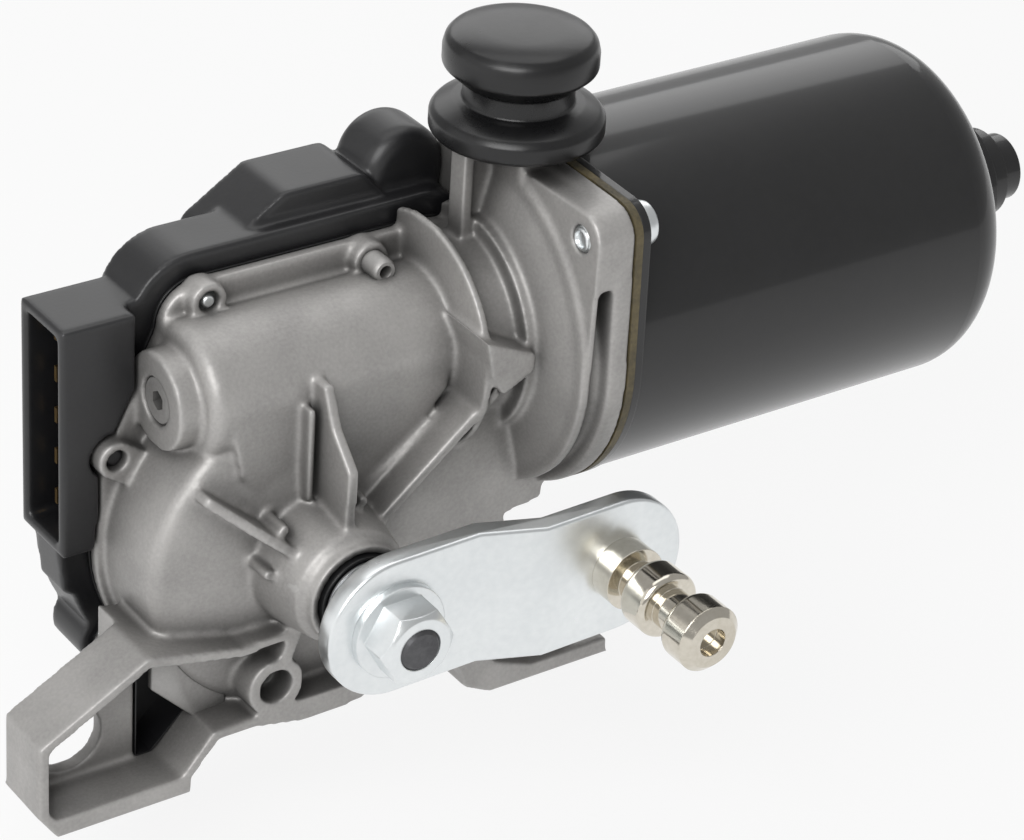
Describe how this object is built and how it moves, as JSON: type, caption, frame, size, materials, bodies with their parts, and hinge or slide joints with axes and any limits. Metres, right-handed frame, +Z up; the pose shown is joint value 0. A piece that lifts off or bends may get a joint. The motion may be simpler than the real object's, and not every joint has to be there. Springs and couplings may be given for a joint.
{
  "type": "wiper motor",
  "caption": "Windscreen wiper motor with a worm gear in a ribbed cast housing, a black motor can, a plug socket, a rubber mount and a joggled crank arm with a link pin",
  "frame": {"origin": "centre of the spindle boss's end face, on the output shaft's axis", "axes": "X along the motor towards its closed end, Y along the output shaft from the crank towards the rear cover, Z up towards the rubber mount"},
  "size_m": [0.2227, 0.1047, 0.1269],
  "materials": {
    "cast_housing": "die-cast, fine grain, matte",
    "black_cover": "moulded black plastic, slightly glossy",
    "seal_rubber": "black rubber",
    "zinc_screws": "zinc plated steel",
    "black_can": "gloss black paint over drawn steel",
    "paper_gasket": "olive pressed fibre",
    "grommet_rubber": "moulded rubber with a dull sheen",
    "sintered_bronze": "oil filled sintered bronze",
    "shaft_steel": "ground steel",
    "zinc_arm": "bright zinc plated",
    "nickel_pin": "nickel plated with a warm tint",
    "wheel_plastic": "natural acetal",
    "contact_brass": "stamped brass",
    "board_laminate": "green laminate",
    "core_steel": "stacked laminations",
    "copper_wire": "enamelled copper",
    "ferrite": "sintered ferrite",
    "carbon": "pressed carbon",
    "carrier_plastic": "brown phenolic"
  },
  "bodies": {
    "housing": {"gear_housing": "cast_housing", "rear_cover": "black_cover", "cover_gasket": "seal_rubber", "cover_screws": "zinc_screws", "connector_pins": "contact_brass", "circuit_board": "board_laminate", "park_contacts": "contact_brass", "motor_can": "black_can", "flange_gasket": "paper_gasket", "flange_screws": "zinc_screws", "mount_grommet": "grommet_rubber", "front_spindle_bush": "sintered_bronze", "rear_spindle_bush": "sintered_bronze", "spindle_seal": "seal_rubber", "thrust_washer": "shaft_steel", "worm_bearing": "shaft_steel", "tip_bush": "sintered_bronze", "thrust_pad": "shaft_steel", "adjusting_screw": "zinc_screws", "end_bush": "sintered_bronze", "field_magnets": "ferrite", "brush_plate": "carrier_plastic", "carbon_brushes": "carbon", "brush_springs": "shaft_steel"},
    "crank": {"output_shaft": "shaft_steel", "worm_wheel": "wheel_plastic", "park_disc": "contact_brass", "crank_arm": "zinc_arm", "crank_nut": "zinc_arm", "crank_pin": "nickel_pin", "circlip": "shaft_steel", "spindle_washer": "shaft_steel"},
    "armature": {"armature_shaft": "shaft_steel", "armature_core": "core_steel", "windings": "copper_wire", "commutator": "copper_wire"}
  },
  "joints": [
    {"name": "crank_spin", "type": "hinge", "parent": "housing", "child": "crank", "pos_m": [0, 0, 0], "axis": [0, 1, 0], "continuous": true},
    {"name": "armature_spin", "type": "hinge", "parent": "housing", "child": "armature", "pos_m": [0, 0.0282, 0.0315], "axis": [1, 0, 0], "continuous": true}
  ],
  "couplings": [
    {"joint": "armature_spin", "follows": "crank_spin", "ratio": -50}
  ]
}
